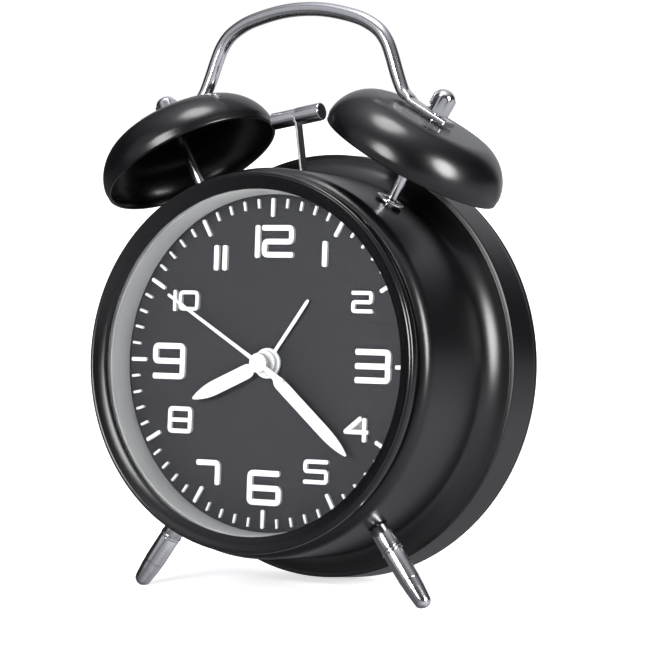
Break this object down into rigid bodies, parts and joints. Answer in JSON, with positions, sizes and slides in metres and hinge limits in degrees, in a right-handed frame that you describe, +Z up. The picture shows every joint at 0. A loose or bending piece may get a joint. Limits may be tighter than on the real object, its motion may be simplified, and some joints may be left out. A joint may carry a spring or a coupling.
{
  "type": "twin bell alarm clock",
  "caption": "Bedside alarm clock on splayed feet: round flared case, domed bells with a striking hammer between them, bent rod handle, and a dial with raised figures.",
  "frame": {"origin": "centre of the overall box at floor level, between the feet and the rear rim", "axes": "+X to the right of the dial as seen from the front, +Y to the back, +Z up"},
  "size_m": [0.1186, 0.0666, 0.1607],
  "materials": {
    "satin_black_metal": "semi-gloss black enamel on pressed steel",
    "polished_chrome": "polished chrome plating",
    "brushed_steel": "plain steel",
    "brass": "plain brass",
    "clear_glass": "clear flat glass",
    "pale_grey_plastic": "pale grey moulding",
    "charcoal_dial": "fine-grained charcoal paint with white raised figures",
    "white_enamel": "white enamel on brass sheet",
    "dark_plastic": "moulded black plastic",
    "pale_nylon": "moulded nylon",
    "circuit_board_green": "green lacquered board",
    "copper_winding": "enamelled copper wire on a bobbin",
    "battery_jacket": "plain printed steel jacket"
  },
  "bodies": {
    "case": {"case_shell": "satin_black_metal", "bezel_ring": "satin_black_metal", "bell_left": "satin_black_metal", "bell_right": "satin_black_metal", "bell_post_left": "polished_chrome", "bell_post_right": "polished_chrome", "post_washer_left": "polished_chrome", "post_washer_right": "polished_chrome", "bell_nut_left": "polished_chrome", "bell_nut_right": "polished_chrome", "handle": "polished_chrome", "foot_left": "polished_chrome", "foot_right": "polished_chrome", "post_nut_left": "brushed_steel", "post_nut_right": "brushed_steel", "foot_screw_left": "brushed_steel", "foot_screw_right": "brushed_steel", "hammer_pivot_pin": "brushed_steel", "strike_bracket": "brushed_steel", "bell_motor": "brushed_steel", "contact_left": "brushed_steel", "contact_right": "brushed_steel", "cover_screw_top": "brushed_steel", "cover_screw_left": "brushed_steel", "cover_screw_right": "brushed_steel", "lens": "clear_glass", "reflector_ring": "pale_grey_plastic", "dial": "charcoal_dial", "back_cover": "dark_plastic", "light_switch": "dark_plastic", "movement_case_front": "pale_nylon", "movement_case_rear": "pale_nylon", "circuit_board": "circuit_board_green", "step_coil": "copper_winding", "battery_upper": "battery_jacket", "battery_lower": "battery_jacket"},
    "time_knob": {"time_knob": "dark_plastic", "time_stem": "brass"},
    "minute_hand": {"minute_hand": "white_enamel", "minute_wheel": "brass"},
    "hour_hand": {"hour_hand": "white_enamel", "hour_wheel": "pale_nylon"},
    "second_hand": {"second_hand": "white_enamel", "second_wheel": "brass"},
    "alarm_knob": {"alarm_knob": "dark_plastic", "alarm_stem": "brass"},
    "alarm_hand": {"alarm_hand": "white_enamel", "alarm_wheel": "pale_nylon"},
    "hammer": {"hammer_arm": "brushed_steel", "hammer_head_left": "polished_chrome", "hammer_head_right": "polished_chrome"},
    "strike_wheel": {"strike_wheel": "pale_nylon"},
    "motor_pinion": {"motor_pinion": "brass"},
    "alarm_switch": {"alarm_switch": "pale_grey_plastic"},
    "light_button": {"light_button": "pale_grey_plastic"},
    "battery_door": {"battery_door": "dark_plastic"}
  },
  "joints": [
    {"name": "time_knob_turn", "type": "hinge", "parent": "case", "child": "time_knob", "pos_m": [0.012, 0.02365, 0.05516], "axis": [0, 0.9938, -0.1115], "continuous": true},
    {"name": "minute_hand_turn", "type": "hinge", "parent": "case", "child": "minute_hand", "pos_m": [0, -0.01565, 0.06359], "axis": [0, 0.9938, -0.1115], "continuous": true},
    {"name": "hour_hand_turn", "type": "hinge", "parent": "case", "child": "hour_hand", "pos_m": [0, -0.01565, 0.06359], "axis": [0, 0.9938, -0.1115], "continuous": true},
    {"name": "second_hand_turn", "type": "hinge", "parent": "case", "child": "second_hand", "pos_m": [0, -0.01565, 0.06359], "axis": [0, 0.9938, -0.1115], "continuous": true},
    {"name": "alarm_knob_turn", "type": "hinge", "parent": "case", "child": "alarm_knob", "pos_m": [-0.012, 0.02365, 0.05516], "axis": [0, 0.9938, -0.1115], "continuous": true},
    {"name": "alarm_hand_turn", "type": "hinge", "parent": "case", "child": "alarm_hand", "pos_m": [0, -0.01565, 0.06359], "axis": [0, 0.9938, -0.1115], "continuous": true},
    {"name": "hammer_swing", "type": "hinge", "parent": "case", "child": "hammer", "pos_m": [0.0045, 0.00011, 0.09644], "axis": [0, 0.9938, -0.1115], "range_deg": [-8, 10.6]},
    {"name": "strike_wheel_turn", "type": "hinge", "parent": "case", "child": "strike_wheel", "pos_m": [-0.0044, -0.00661, 0.09931], "axis": [0, 0.9938, -0.1115], "continuous": true},
    {"name": "motor_pinion_turn", "type": "hinge", "parent": "case", "child": "motor_pinion", "pos_m": [-0.0145, -0.00661, 0.09931], "axis": [0, 0.9938, -0.1115], "continuous": true},
    {"name": "alarm_switch_slide", "type": "slide", "parent": "case", "child": "alarm_switch", "axis": [1, 0, 0], "range_m": [0, 0.004]},
    {"name": "light_button_press", "type": "slide", "parent": "case", "child": "light_button", "axis": [0, -0.9938, 0.1115], "range_m": [0, 0.0015], "stiffness_N_per_m": 600},
    {"name": "battery_door_lift", "type": "slide", "parent": "case", "child": "battery_door", "axis": [0, 0.9938, -0.1115], "range_m": [0, 0.02]}
  ],
  "couplings": [
    {"joint": "minute_hand_turn", "follows": "time_knob_turn", "ratio": -0.64},
    {"joint": "hour_hand_turn", "follows": "time_knob_turn", "ratio": -0.053333},
    {"joint": "alarm_hand_turn", "follows": "alarm_knob_turn", "ratio": -0.66216},
    {"joint": "motor_pinion_turn", "follows": "strike_wheel_turn", "ratio": -3.4545}
  ]
}
